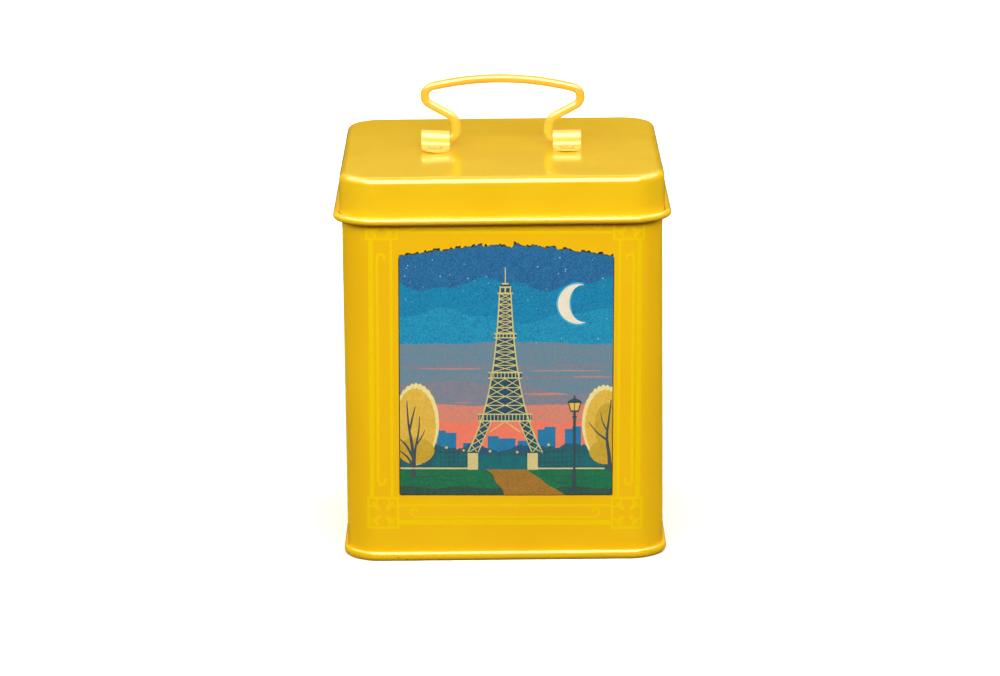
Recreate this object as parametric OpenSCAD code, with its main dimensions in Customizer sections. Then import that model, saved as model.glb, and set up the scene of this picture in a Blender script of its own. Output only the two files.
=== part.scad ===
// Square coffee tin with a slip-on lid and a wire bail handle.
// Millimetres, +Z up, origin at the centre of the base, front face towards -Y.

/* [Tin] */
// Outside width and depth of the square body
body_w = 110; // [90:1:140]
// Height of the closed tin, from the base to the flat top of the lid
lid_top_h = 135.4; // [110:0.2:180]
// Outside radius of the vertical corners of the body
corner_r = 12; // [10:0.5:16]
// Thickness of the tinplate sheet
sheet_t = 0.33; // [0.24:0.01:0.4]
// Outside radius of the inward curl round the mouth
mouth_curl_r = 1.0; // [0.9:0.05:1.1]

/* [Base seam] */
// Height of the double seam that joins the base to the body
seam_h = 3.4; // [3:0.1:4]
// Gap between the folded layers of the seam
seam_gap = 0.02; // [0.01:0.01:0.04]
// Width of the lock seam up the back of the body
lock_seam_w = 3.6; // [3:0.2:5]

/* [Lid] */
// Running gap between the body wall and the lid skirt
lid_gap = 0.4; // [0.3:0.05:0.6]
// Outside radius of the shoulder between the top and the skirt
lid_shoulder_r = 2.5; // [2.3:0.1:2.7]
// Outside radius of the rolled rim at the foot of the skirt
rim_curl_r = 1.33; // [1.1:0.01:1.5]
// Depth of the lid, from the flat top to the lowest point of the rim
lid_depth = 16.2; // [12:0.2:24]

/* [Handle clips] */
// Distance from the middle of the lid to the middle of a clip
clip_x = 23.1; // [22.4:0.1:24]
// Width of the strap that the clip is folded from
clip_w = 10; // [8:0.5:11]
// Thickness of the strap
strap_t = 0.4; // [0.3:0.05:0.5]
// Outside radius of the loop round the wire
loop_r = 2.8; // [2.6:0.05:3]
// Distance from the loop's axis forward to the rivet
rivet_reach = 7.4; // [7:0.1:9]
// Diameter of the domed rivet head
rivet_head_d = 5.1; // [4:0.1:5.4]
// Height of the domed rivet head
rivet_head_h = 1.0; // [0.6:0.1:1.2]
// Diameter of the rivet shank
rivet_d = 2.9; // [2:0.1:3]

/* [Handle] */
// Diameter of the wire
wire_d = 3.1; // [2.6:0.1:3.2]
// Greatest height of the wire's centreline above the lid
bail_rise = 24.2; // [22:0.2:30]
// Half the distance between the two straight necks
neck_x = 16.2; // [15.5:0.1:16.4]
// Bend radius where a neck turns out into its clip
foot_r = 3.0; // [2.8:0.1:3.2]
// Bend radius where a neck turns out into its arm
knee_r = 4.3; // [4:0.1:5]
// Height above the lid at which the knee bend begins
knee_h = 7.25; // [6.5:0.05:8]
// Bend radius where an arm turns back into the grip
shoulder_r = 3.4; // [3:0.1:4]
// Distance of the shoulder bend's centre from the middle
shoulder_x = 24; // [22:0.1:25]

/* [Hidden] */
$fn = 96;
eps = 0.01;
body_half = body_w / 2;
// Every plan outline shares these corner centres, so a profile is carried round by its
// distance from the corner axis: corner_r is the outer face of the body wall.
corner_reach = body_half - corner_r;

// Layers of the double seam, named by the distance of their outer face from the corner axis
end_hook_r = corner_r + seam_gap + sheet_t;
body_hook_r = end_hook_r + seam_gap + sheet_t;
seam_r = body_hook_r + seam_gap + sheet_t;
chuck_r = corner_r - sheet_t - seam_gap;
body_hook_h = seam_h - 1;
end_hook_low = 3 * sheet_t;
base_panel_h = seam_h - 0.2;
// The lock seam stops short of the base seam and of the mouth, where the sheet is only lapped
lock_seam_stop = 5;
lock_groove_w = 0.3;
lock_groove_depth = 0.15;

skirt_r = corner_r + lid_gap + sheet_t;
// The mouth stays clear of the inside of the lid's shoulder
mouth_h = lid_top_h - sheet_t - 0.47;
rim_x = skirt_r - sheet_t + rim_curl_r;
rim_h = lid_top_h - lid_depth + rim_curl_r;
// The free edge of a curl stops this many degrees short of the sheet that it came from
curl_opening = 55;

pivot_h = lid_top_h + loop_r;
flange_t = 2 * strap_t;
fold_r = 1.2;
// The visible side of the fold touches both the loop and the flange
fold_h = flange_t + fold_r;
fold_reach = sqrt(pow(loop_r + fold_r, 2) - pow(loop_r - fold_h, 2));
fold_angle = atan2(loop_r - fold_h, fold_reach);
flange_end_r = clip_w / 2;
rivet_hole_d = rivet_d + 0.1;
rivet_tail_d = rivet_d + 1.5;
rivet_tail_h = 0.8;

wire_r = wire_d / 2;
foot_x = neck_x + foot_r;
knee_x = neck_x + knee_r;
wire_end_x = clip_x + clip_w / 2 - 0.8;
shoulder_h = bail_rise - 6.3;
// The grip is one long arc that runs on smoothly from both shoulder bends
grip_drop = bail_rise - shoulder_h;
grip_r = (pow(shoulder_x, 2) + pow(grip_drop, 2) - pow(shoulder_r, 2)) / (2 * (grip_drop - shoulder_r));
grip_angle = asin(shoulder_x / (grip_r - shoulder_r));
// The arm is the inner tangent between the knee bend and the shoulder bend
arm_dx = shoulder_x - knee_x;
arm_dh = shoulder_h - knee_h;
arm_span = sqrt(pow(arm_dx, 2) + pow(arm_dh, 2));
arm_angle = atan2(arm_dh, arm_dx) - asin((knee_r + shoulder_r) / arm_span);
arm_length = sqrt(pow(arm_span, 2) - pow(knee_r + shoulder_r, 2));
arm_x = knee_x + knee_r * cos(90 + arm_angle);
arm_h = knee_h + knee_r * sin(90 + arm_angle);
// Each straight, and the grip, stops this far inside the ball that joins it to a bend
knot_gap = 0.1;
knot_proud = 0.01;
grip_half_angle = grip_angle - knot_gap / grip_r * 180 / PI;

// ---- Shared shapes ----

// Square plan with rounded corners; r is measured from the shared corner centres
module rounded_plan(r) {
  square([2 * (corner_reach + r), 2 * corner_reach], center = true);
  square([2 * corner_reach, 2 * (corner_reach + r)], center = true);
  for (sx = [-1, 1], sy = [-1, 1])
    translate([sx * corner_reach, sy * corner_reach]) circle(r);
}

// Carries a profile round the plan: x is the distance from the corner axis, y is the height
module carry_round() {
  for (side = [0 : 3]) rotate(90 * side) translate([corner_reach, corner_reach, 0]) {
    rotate_extrude(angle = 90) children();
    rotate([90, 0, 0]) linear_extrude(2 * corner_reach) children();
  }
}

// Rectangle between two heights whose outer side is at r
module layer(r, low, high, thick = sheet_t) {
  translate([r - thick, low]) square([thick, high - low]);
}

// Part of a ring, from one angle anticlockwise to another
module arc_band(outer, inner, from, to) {
  reach = 2 * outer;
  steps = 8;
  fan = [for (i = [0 : steps]) let (a = from + (to - from) * i / steps) reach * [cos(a), sin(a)]];
  intersection() {
    difference() {
      circle(outer);
      circle(inner);
    }
    polygon(concat([[0, 0]], fan));
  }
}

// ---- Tin ----

module body_profile() {
  layer(corner_r, sheet_t, mouth_h - mouth_curl_r);
  translate([corner_r - mouth_curl_r, mouth_h - mouth_curl_r])
    arc_band(mouth_curl_r, mouth_curl_r - sheet_t, 0, 360 - curl_opening);
  layer(body_hook_r, sheet_t, body_hook_h);
  layer(body_hook_r, sheet_t, 2 * sheet_t, body_hook_r - corner_r + sheet_t);
}

module body_wall() color("gold") difference() {
  lock_low = seam_h + lock_seam_stop;
  lock_high = mouth_h - lock_seam_stop;
  union() {
    carry_round() body_profile();
    translate([-lock_seam_w / 2, body_half - 4 * sheet_t, lock_low])
      cube([lock_seam_w, 3.5 * sheet_t, lock_high - lock_low]);
  }
  translate([lock_seam_w / 2, body_half - lock_groove_depth, lock_low])
    cube([lock_groove_w, 1, lock_high - lock_low]);
}

module base_profile() {
  layer(seam_r, 0, seam_h);
  layer(seam_r, 0, sheet_t, seam_r - chuck_r + sheet_t);
  layer(seam_r, seam_h - sheet_t, seam_h, seam_r - corner_r - seam_gap);
  layer(end_hook_r, end_hook_low, seam_h);
  layer(chuck_r, 0, base_panel_h + sheet_t);
}

module base_panel() color("goldenrod") {
  carry_round() base_profile();
  translate([0, 0, base_panel_h]) linear_extrude(sheet_t) rounded_plan(chuck_r - sheet_t / 2);
}

// ---- Lid ----

module lid_profile() {
  shoulder_x0 = skirt_r - lid_shoulder_r;
  layer(skirt_r, rim_h, lid_top_h - lid_shoulder_r);
  translate([shoulder_x0, lid_top_h - lid_shoulder_r])
    arc_band(lid_shoulder_r, lid_shoulder_r - sheet_t, 0, 90);
  translate([rim_x, rim_h])
    arc_band(rim_curl_r, rim_curl_r - sheet_t, -180, 180 - curl_opening);
}

module lid_pan() color("gold") difference() {
  union() {
    carry_round() lid_profile();
    translate([0, 0, lid_top_h - sheet_t])
      linear_extrude(sheet_t) rounded_plan(skirt_r - lid_shoulder_r);
  }
  for (side = [-1, 1])
    translate([side * clip_x, -rivet_reach, lid_top_h - 2]) cylinder(d = rivet_hole_d, h = 4);
}

// ---- Handle clips ----

// Side view of the folded strap: x runs back from the rivet to the loop, y is height above the lid
module strap_profile() {
  flange_front = -rivet_reach - flange_end_r;
  translate([0, loop_r]) arc_band(loop_r, loop_r - strap_t, -90, 180 + fold_angle);
  translate([-fold_reach, fold_h]) arc_band(fold_r + strap_t, fold_r, -90, fold_angle);
  translate([flange_front, strap_t]) square([-flange_front - fold_reach, strap_t]);
  translate([flange_front, 0]) square([-flange_front, strap_t]);
}

// One clip, centred on x = 0 with the loop's axis over y = 0
module clip() difference() {
  intersection() {
    translate([-clip_w / 2, 0, 0]) rotate([90, 0, 90]) linear_extrude(clip_w) strap_profile();
    linear_extrude(3 * loop_r) {
      translate([-clip_w / 2, -rivet_reach]) square([clip_w, rivet_reach + 2 * loop_r]);
      translate([0, -rivet_reach]) circle(flange_end_r);
    }
  }
  translate([0, -rivet_reach, -1]) cylinder(d = rivet_hole_d, h = flange_t + 2);
}

module clip_left() color("khaki") translate([-clip_x, 0, lid_top_h]) clip();
module clip_right() color("khaki") translate([clip_x, 0, lid_top_h]) clip();

// Domed head on the flange, shank through the lid, and the clenched tail under it
module rivet() {
  dome_r = (pow(rivet_head_d / 2, 2) + pow(rivet_head_h, 2)) / (2 * rivet_head_h);
  rotate_extrude() {
    intersection() {
      translate([0, flange_t + rivet_head_h - dome_r]) circle(dome_r);
      translate([0, flange_t]) square([rivet_head_d, rivet_head_h]);
    }
    translate([0, -sheet_t - rivet_tail_h]) square([rivet_d / 2, flange_t + sheet_t + rivet_tail_h + eps]);
    translate([0, -sheet_t - rivet_tail_h]) square([rivet_tail_d / 2, rivet_tail_h]);
  }
}

module rivet_left() color("lemonchiffon") translate([-clip_x, -rivet_reach, lid_top_h]) rivet();
module rivet_right() color("lemonchiffon") translate([clip_x, -rivet_reach, lid_top_h]) rivet();

// ---- Handle ----

// Bend of the wire in the X-Z plane about a centre, between two angles
module wire_bend(x, h, r, from, to)
  translate([x, 0, h]) rotate([90, 0, 0]) rotate([0, 0, from])
    rotate_extrude(angle = to - from) translate([r, 0]) circle(wire_r);

// Straight wire from a point, rising at an angle from +X in the X-Z plane
module wire_run(x, h, angle, length)
  translate([x, 0, h]) rotate([0, 90 - angle, 0])
    translate([0, 0, knot_gap]) cylinder(r = wire_r, h = length - 2 * knot_gap);

// A ball a hair wider than the wire closes the joint between a bend and its neighbour
module wire_knot(x, h) translate([x, 0, h]) sphere(wire_r + knot_proud);

// From the end in the clip to the shoulder bend, on the +X side
module half_handle() {
  wire_run(foot_x, loop_r, 0, wire_end_x - foot_x);
  wire_knot(foot_x, loop_r);
  wire_bend(foot_x, loop_r + foot_r, foot_r, 180, 270);
  wire_knot(neck_x, loop_r + foot_r);
  wire_run(neck_x, loop_r + foot_r, 90, knee_h - loop_r - foot_r);
  wire_knot(neck_x, knee_h);
  wire_bend(knee_x, knee_h, knee_r, 90 + arm_angle, 180);
  wire_knot(arm_x, arm_h);
  wire_run(arm_x, arm_h, arm_angle, arm_length);
  wire_knot(arm_x + arm_length * cos(arm_angle), arm_h + arm_length * sin(arm_angle));
  wire_bend(shoulder_x, shoulder_h, shoulder_r, arm_angle - 90, 90 - grip_angle);
  wire_knot(grip_r * sin(grip_angle), bail_rise - grip_r + grip_r * cos(grip_angle));
}

module handle_wire() color("yellow") translate([0, 0, lid_top_h]) {
  half_handle();
  mirror([1, 0, 0]) half_handle();
  wire_bend(0, bail_rise - grip_r, grip_r, 90 - grip_half_angle, 90 + grip_half_angle);
}

body_wall();
base_panel();
lid_pan();
clip_left();
clip_right();
rivet_left();
rivet_right();
handle_wire();
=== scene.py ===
# %% [markdown]
# A square coffee tin in yellow lacquered tinplate, with a slip-on lid, a wire
# bail in two riveted strap clips, and a small printed scene on its front.
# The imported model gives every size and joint. This file gives the looks: each
# metal piece is made again as a surface with real sheet thickness, curls and
# folds, then the inks are laid on the wall, and the finishes follow.

# %% Load the fixed frame
import bpy
import numpy as np
from mathutils import Matrix, Vector


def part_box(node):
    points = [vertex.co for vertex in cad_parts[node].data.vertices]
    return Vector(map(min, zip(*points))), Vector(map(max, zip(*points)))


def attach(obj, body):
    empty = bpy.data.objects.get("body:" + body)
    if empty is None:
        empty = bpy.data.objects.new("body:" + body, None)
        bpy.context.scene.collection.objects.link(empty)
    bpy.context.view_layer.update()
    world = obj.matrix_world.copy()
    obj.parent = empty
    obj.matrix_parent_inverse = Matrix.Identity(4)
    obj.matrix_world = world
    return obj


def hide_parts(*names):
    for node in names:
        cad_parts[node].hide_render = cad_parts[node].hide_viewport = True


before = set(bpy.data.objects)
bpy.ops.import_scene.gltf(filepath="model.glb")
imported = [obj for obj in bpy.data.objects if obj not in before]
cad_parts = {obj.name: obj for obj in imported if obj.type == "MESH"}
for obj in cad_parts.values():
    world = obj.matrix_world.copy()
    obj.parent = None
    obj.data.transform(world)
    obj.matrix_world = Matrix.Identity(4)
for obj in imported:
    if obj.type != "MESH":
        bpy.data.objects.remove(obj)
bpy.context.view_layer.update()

# %% [markdown]
# Tin sizes are easiest to think about in millimetres, as a tinsmith does, so
# every shape below is worked out in millimetres and turned to metres once,
# when its mesh is made. Heights of the lid and the bail come from the frame.

# %% Millimetres and the main sizes
MM = 0.001
LID_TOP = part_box("lid_pan")[1][2] / MM
SHEET = 0.33
CORNER_AXIS = 43.0
CORNER_R = 12.0
CLIP_X = 23.1
RIVET_Y = -7.4
PIVOT_UP = 2.8
print("lid top at", round(LID_TOP, 2), "mm")

# %% [markdown]
# The camera stands a little above the lid and looks slightly down at the front
# face through a long lens, so the upright edges stay almost parallel. It also
# leans by half a degree, as a camera held by hand or on a loose tripod does.

# %% Camera
CAMERA_AT = Vector((-2.684, -1371.975, 401.133)) * MM
LOOKING = Vector((0.00110, 0.97139, -0.23749)).normalized()
LEAN = np.radians(-0.571)

side = LOOKING.cross(Vector((0, 0, 1))).normalized()
upward = side.cross(LOOKING).normalized()
lean_side = side * np.cos(LEAN) + upward * np.sin(LEAN)
lean_up = upward * np.cos(LEAN) - side * np.sin(LEAN)
turn = Matrix((lean_side, lean_up, -LOOKING)).transposed().to_4x4()

camera = bpy.data.objects.new("studio_camera", bpy.data.cameras.new("studio_camera"))
camera.data.lens = 142.46
camera.data.sensor_width = 36.0
camera.data.clip_start = 0.01
camera.matrix_world = Matrix.Translation(CAMERA_AT) @ turn
bpy.context.scene.collection.objects.link(camera)
bpy.context.scene.camera = camera
print("camera", [round(v, 3) for v in camera.location])

# %% [markdown]
# Every surface here is a grid of points with two parameters. These helpers
# join a grid into four-sided faces, turn the result so that it faces outwards,
# and make one Blender mesh of it. The outward test is the signed volume: the
# sum over the triangles of corner a dotted with (b cross c), over six. It is
# positive when the faces look out.

# %% Grids into meshes
def grid_faces(rows, cols, close_rows=False, close_cols=False):
    """Four-sided faces of a grid: point (i, j) has number i * cols + j, and a closed direction joins
    its last line to its first."""
    i = np.arange(rows if close_rows else rows - 1)[:, None]
    j = np.arange(cols if close_cols else cols - 1)[None, :]
    i2, j2 = (i + 1) % rows, (j + 1) % cols
    corners = [i * cols + j, i * cols + j2, i2 * cols + j2, i2 * cols + j]
    return np.stack([np.broadcast_to(c, (i.size, j.size)) for c in corners], -1).reshape(-1, 4)


def outward(points, faces):
    """The faces, turned over where the signed volume of the closed shell is negative."""
    a, b, c, d = (points[faces[:, k]] for k in range(4))
    volume = sum((a * area).sum() for area in (np.cross(b, c), np.cross(c, d)))
    return faces[:, ::-1] if volume < 0 else faces


def weld(points, faces, slot):
    """Merges points of one shell that share a place to a ten-thousandth of a millimetre, as at a pole.
    A face that loses one corner becomes a triangle, and one that loses more is dropped."""
    _, first, number = np.unique(np.round(points * 1e4), axis=0, return_index=True, return_inverse=True)
    faces = number.reshape(-1)[faces]
    same = faces == np.roll(faces, -1, axis=1)
    whole = ~same.any(1)
    one_lost = same.sum(1) == 1
    kept, slots = [faces[whole]], [slot[whole]]
    for k in range(4):
        short = one_lost & same[:, k]
        kept.append(np.roll(faces[short], -k, axis=1)[:, 1:])
        slots.append(slot[short])
    return points[first], kept, np.concatenate(slots)


def shell_of(grid, close_rows, slot=0):
    """One shell from a grid of points whose columns close round: its points, faces and material
    numbers."""
    return grid.reshape(-1, 3), grid_faces(grid.shape[0], grid.shape[1], close_rows, True), slot


def make_piece(name, shells, materials, sharp=35.0):
    """One object from closed shells, each (points in mm, faces, slot number or one per face): each
    shell is turned outwards and welded, the lists are joined, and edges steeper than sharp degrees stay
    crisp."""
    points, faces, slots, count = [], [], [], 0
    for shell_points, shell_faces, slot in shells:
        turned = outward(shell_points, shell_faces)
        shell_points, kept, slot = weld(shell_points, turned, np.broadcast_to(slot, len(turned)))
        points.append(shell_points)
        for part in kept:
            faces.extend((part + count).tolist())
        slots.append(slot)
        count += len(shell_points)
    mesh = bpy.data.meshes.new(name)
    mesh.from_pydata((np.concatenate(points) * MM).tolist(), [], faces)
    mesh.polygons.foreach_set("material_index", np.concatenate(slots).astype(np.int32))
    mesh.polygons.foreach_set("use_smooth", np.ones(len(mesh.polygons), bool))
    mesh.set_sharp_from_angle(angle=np.radians(sharp))
    for material in materials:
        mesh.materials.append(material)
    piece = bpy.data.objects.new(name, mesh)
    bpy.context.scene.collection.objects.link(piece)
    print(name, len(mesh.polygons), "faces")
    return piece


# %% [markdown]
# Lines in a profile are drawn as a drafter draws them: straights and arcs, one
# after the other. A sheet profile is such a line with half the sheet thickness
# set off on either side and a rounded cut edge at each free end.

# %% Straights, arcs and sheet outlines
def arc(cx, cy, r, start, stop, steps):
    """Points at centre + r * (cos a, sin a), a going evenly from start to stop degrees."""
    a = np.radians(np.linspace(start, stop, steps))
    return np.stack([cx + r * np.cos(a), cy + r * np.sin(a)], -1)


def straight(x0, y0, x1, y1, steps):
    """Points spaced evenly on a straight line, without its two ends."""
    t = np.linspace(0, 1, steps + 2)[1:-1, None]
    return np.array([x0, y0]) * (1 - t) + np.array([x1, y1]) * t


def curve_through(points, steps=24):
    """Smooth path through a few points: cubic pieces whose slope at a point is half the step between
    its neighbours (Catmull-Rom)."""
    p = np.asarray(points, float)
    p = np.concatenate([2 * p[:1] - p[1:2], p, 2 * p[-1:] - p[-2:-1]])
    s = np.linspace(0, len(p) - 3 - 1e-9, steps)
    i, t = s.astype(int), (s % 1)[:, None]
    a, b, c, d = p[i], p[i + 1], p[i + 2], p[i + 3]
    bend, twist = 2 * a - 5 * b + 4 * c - d, 3 * b - a - 3 * c + d
    return 0.5 * (2 * b + (c - a) * t + bend * t ** 2 + twist * t ** 3)


def normals_of(line):
    """Unit normals to the right of the direction of travel: the tangent (dx, dy) turned to (dy, -dx)."""
    step = np.diff(line, axis=0)
    step = step / np.maximum(np.linalg.norm(step, axis=1), 1e-9)[:, None]
    tangent = np.concatenate([step[:1], step[:-1] + step[1:], step[-1:]])
    tangent = tangent / np.linalg.norm(tangent, axis=1)[:, None]
    return np.stack([tangent[:, 1], -tangent[:, 0]], -1)


def sheet_outline(line, round_start=True, round_end=True):
    """Closed outline of a sheet: the line plus half a thickness to its right, back along its left, with
    half-circle cut edges. Also gives each point's side, +1 right, -1 left."""
    n = normals_of(line)
    half = SHEET / 2
    right, left = line + n * half, line - n * half
    a = np.radians([30, 60, 90, 120, 150])[:, None]
    ahead = np.array([-n[-1, 1], n[-1, 0]])
    behind = -np.array([-n[0, 1], n[0, 0]])
    tip_end = line[-1] + half * (n[-1] * np.cos(a) + ahead * np.sin(a))
    tip_start = line[0] + half * (-n[0] * np.cos(a) + behind * np.sin(a))
    runs = [(right, 1.0)]
    if round_end:
        runs.append((tip_end, 1.0))
    runs.append((left[::-1], -1.0))
    if round_start:
        runs.append((tip_start, 1.0))
    sides = [np.full(len(run), side) for run, side in runs]
    return np.concatenate([run for run, side in runs]), np.concatenate(sides)


# %% [markdown]
# The tin is square with rounded corners, and all its profiles share the same
# four corner axes. So one set of columns serves them all: on a flat side the
# column slides along the side, and on a corner it turns about the corner axis.
# A profile point at distance r from the axis then lies at c + r * n. A few more
# columns stand where the lock seam and the border at the back have their edges.

# %% Columns once round the tin
SEAM_COLUMNS = [-2.4, -1.8, -1.75, 1.75, 1.8, 1.95, 2.1, 2.15, 2.6]
flat_u = np.union1d(np.linspace(-CORNER_AXIS, CORNER_AXIS, 23), SEAM_COLUMNS)
corner_a = np.radians(np.linspace(0, 90, 15)[1:-1])


def side_columns():
    """Front side from left to right, then the corner after it: centre c and outward normal n, and u,
    the distance from the middle of the side along the wall."""
    c_flat = np.stack([flat_u, np.full_like(flat_u, -CORNER_AXIS)], -1)
    n_flat = np.tile([0.0, -1.0], (len(flat_u), 1))
    c_turn = np.tile([CORNER_AXIS, -CORNER_AXIS], (len(corner_a), 1))
    n_turn = np.stack([np.sin(corner_a), -np.cos(corner_a)], -1)
    u = np.concatenate([flat_u, CORNER_AXIS + CORNER_R * corner_a])
    return np.concatenate([c_flat, c_turn]), np.concatenate([n_flat, n_turn]), u


def quarter_turns(xy, k):
    """The point turned by k quarter turns about the tin's middle: (x, y) becomes (-y, x) once for
    each."""
    for _ in range(k % 4):
        xy = np.stack([-xy[..., 1], xy[..., 0]], -1)
    return xy


c_side, n_side, u_side = side_columns()
AXES = np.concatenate([quarter_turns(c_side, k) for k in range(4)])
NORMALS = np.concatenate([quarter_turns(n_side, k) for k in range(4)])
ALONG = np.tile(u_side, 4)
FACE = np.repeat(np.arange(4), len(u_side))
print(len(AXES), "columns round the tin")


def carry_round(r, z, shrink=None):
    """Rows of a profile carried round the columns: plan position shrink * (c + r * n), height z. A
    shrink of 0 is the pole in the middle of a panel."""
    r = np.broadcast_to(np.asarray(r, float).reshape(len(z), -1), (len(z), len(AXES)))
    s = np.ones(len(z)) if shrink is None else shrink
    xy = s[:, None, None] * (AXES[None] + r[..., None] * NORMALS[None])
    zz = np.broadcast_to(z.reshape(len(z), -1), r.shape)
    return np.concatenate([xy, zz[..., None]], -1)


# %% [markdown]
# Thin flat tinplate is never truly flat. Each wall of a tin this size bows out
# by a fraction of a millimetre and has slow, shallow waves, and this is what
# bends the reflections. The same small rise is used for the wall and for the
# inks on it, so the print lies on the metal exactly.

# %% How far the wall stands out from flat
def smooth(x, low, high):
    """Smooth step: 0 below low, 1 above high, 3t^2 - 2t^3 between."""
    t = np.clip((x - low) / (high - low), 0, 1)
    return t * t * (3 - 2 * t)


def wall_rise(u, z, face):
    """Bow of 0.2 mm plus two slow sine waves of 0.03 and 0.02 mm, all times (1 - (u/43)^2), and faded out
    towards the base seam and the mouth."""
    inside = np.clip(1 - (u / CORNER_AXIS) ** 2, 0, 1)
    fade = smooth(z, 4.5, 22.0) * (1 - smooth(z, 112.0, 128.0))
    waves = 0.03 * np.sin(u / 9.0 + face * 1.7 + z / 23.0) + 0.02 * np.sin(z / 11.0 - u / 17.0 + face)
    return inside * fade * (0.2 + waves)


PRINT_SKEW = 0.0106
SKEW_ABOUT_U, SKEW_ABOUT_V = 0.35, 23.4


def on_wall(u, z, lift, face):
    """Point on the outside of a wall: c slides with u up to the corner axis, past it the normal turns
    by (|u| - 43) / 12, and the point is c + (12 + rise + lift) * n. The front sheet went through the
    press a hair askew, so its (u, z) is first turned clockwise by 0.6 degrees."""
    if face == 0:
        u, z = u + PRINT_SKEW * (z - SKEW_ABOUT_V), z - PRINT_SKEW * (u - SKEW_ABOUT_U)
    turn = np.sign(u) * np.clip(np.abs(u) - CORNER_AXIS, 0, None) / CORNER_R
    n = np.stack([np.sin(turn), -np.cos(turn)], -1)
    c = np.stack([np.clip(u, -CORNER_AXIS, CORNER_AXIS), np.full_like(u, -CORNER_AXIS)], -1)
    xy = c + (CORNER_R + wall_rise(u, z, face) + lift)[..., None] * n
    return np.concatenate([quarter_turns(xy, face), z[..., None]], -1)


print("largest rise", round(float(wall_rise(np.array([0.0]), np.array([60.0]), 0)[0]), 3), "mm")

# %% [markdown]
# Colours are written as the hex values a printer or a paint chart would give.
# Blender's sockets want linear light, so one function turns them. One more
# function adds a shader node with its settings and links, and every finish is
# built with it.

# %% Colour and node helpers
def rgb(hex_text):
    """sRGB hex to linear: c/12.92 below 0.04045, else ((c + 0.055)/1.055)^2.4."""
    c = np.array([int(hex_text[i:i + 2], 16) for i in (1, 3, 5)]) / 255
    linear = np.where(c <= 0.04045, c / 12.92, ((c + 0.055) / 1.055) ** 2.4)
    return (*linear.tolist(), 1.0)


def add(tree, kind, inputs=None, **settings):
    """Adds one node. Settings are its own options, and inputs maps a socket's name or number to a value
    or to the socket that feeds it."""
    node = tree.nodes.new(kind)
    for key, value in settings.items():
        setattr(node, key, value)
    for key, value in (inputs or {}).items():
        if isinstance(value, bpy.types.NodeSocket):
            tree.links.new(value, node.inputs[key])
        else:
            node.inputs[key].default_value = value
    return node


def new_finish(name):
    """An empty material with an output node, and its Object coordinates, which stay with the piece."""
    material = bpy.data.materials.new(name)
    material.use_nodes = True
    tree = material.node_tree
    tree.nodes.clear()
    place = add(tree, "ShaderNodeTexCoord").outputs["Object"]
    return material, tree, place


def noise(tree, place, size_mm, detail=2.0, stretch=(1, 1, 1)):
    """Noise whose blotches are size_mm across: its scale is one over that size in metres."""
    if stretch != (1, 1, 1):
        place = add(tree, "ShaderNodeMapping", {"Vector": place, "Scale": stretch}).outputs[0]
    inputs = {"Vector": place, "Scale": 1 / (size_mm * MM), "Detail": detail}
    return add(tree, "ShaderNodeTexNoise", inputs).outputs["Fac"]


def spread(tree, value, low, high, to_low=0.0, to_high=1.0):
    """Maps low..high of a value to to_low..to_high, held at both ends."""
    return add(tree, "ShaderNodeMapRange", {0: value, 1: low, 2: high, 3: to_low, 4: to_high}).outputs[0]


def blend_colour(tree, share, first, second):
    """Mixes two colours, each a socket or a linear colour, by a share."""
    return add(tree, "ShaderNodeMix", {0: share, 6: first, 7: second}, data_type="RGBA").outputs[2]


def bumps(tree, layers):
    """Chains bumps: each layer is (height, depth in mm), and the last normal comes back."""
    normal = None
    for height, depth in layers:
        inputs = {"Height": height, "Distance": depth * MM, "Strength": 1.0}
        if normal:
            inputs["Normal"] = normal
        normal = add(tree, "ShaderNodeBump", inputs).outputs[0]
    return normal


def finish_with(tree, inputs):
    """Ends a material with the Principled shader and its output."""
    shader = add(tree, "ShaderNodeBsdfPrincipled", inputs)
    add(tree, "ShaderNodeOutputMaterial", {"Surface": shader.outputs[0]})


# %% [markdown]
# The yellow is stoving enamel on tinplate: rolled on, baked hard, then
# varnished. It gives the eye a deep, even, glossy colour with sharp but not
# mirror-sharp reflections. Three things keep it from looking like plastic: a
# slow waviness of the thin sheet, a fine orange peel about a millimetre
# across, and small dark pinholes along curls, where the coat is stretched.
# Curls carry an attribute named stretch, so the wear stays on them.

# %% Stoved yellow enamel on tinplate
def stoved_enamel(name, colour, deeper, rough, wave_depth, peel=0.0035):
    """Enamel with tone blotches of 28 mm, a faint grain of 0.5 mm, handling haze of 6 mm, orange peel of
    1.1 mm, waves of 26 mm, and pinholes of 1.3 mm on stretched metal."""
    material, tree, place = new_finish(name)
    tone = blend_colour(tree, spread(tree, noise(tree, place, 28, 3), 0.35, 0.65), rgb(colour), rgb(deeper))
    grain = spread(tree, noise(tree, place, 0.5, 1), 0.3, 0.7, 0.0, 0.035)
    tone = blend_colour(tree, grain, tone, rgb("#FFE27A"))
    stretch = add(tree, "ShaderNodeAttribute", attribute_name="stretch").outputs["Fac"]
    pin = spread(tree, noise(tree, place, 1.3, 1), 0.725, 0.76)
    rarely = spread(tree, noise(tree, place, 9, 1), 0.5, 0.6)
    worn = add(tree, "ShaderNodeMath", {0: pin, 1: rarely}, operation="MULTIPLY").outputs[0]
    worn = add(tree, "ShaderNodeMath", {0: worn, 1: stretch}, operation="MULTIPLY").outputs[0]
    tone = blend_colour(tree, worn, tone, rgb("#94701C"))
    haze = spread(tree, noise(tree, place, 6, 4), 0.3, 0.75, rough, rough + 0.06)
    waves = noise(tree, place, 26, 1)
    normal = bumps(tree, [(waves, wave_depth), (noise(tree, place, 1.1, 1), peel), (worn, 0.03)])
    finish_with(tree, {"Base Color": tone, "Roughness": haze, "IOR": 1.45, "Normal": normal})
    return material


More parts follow.
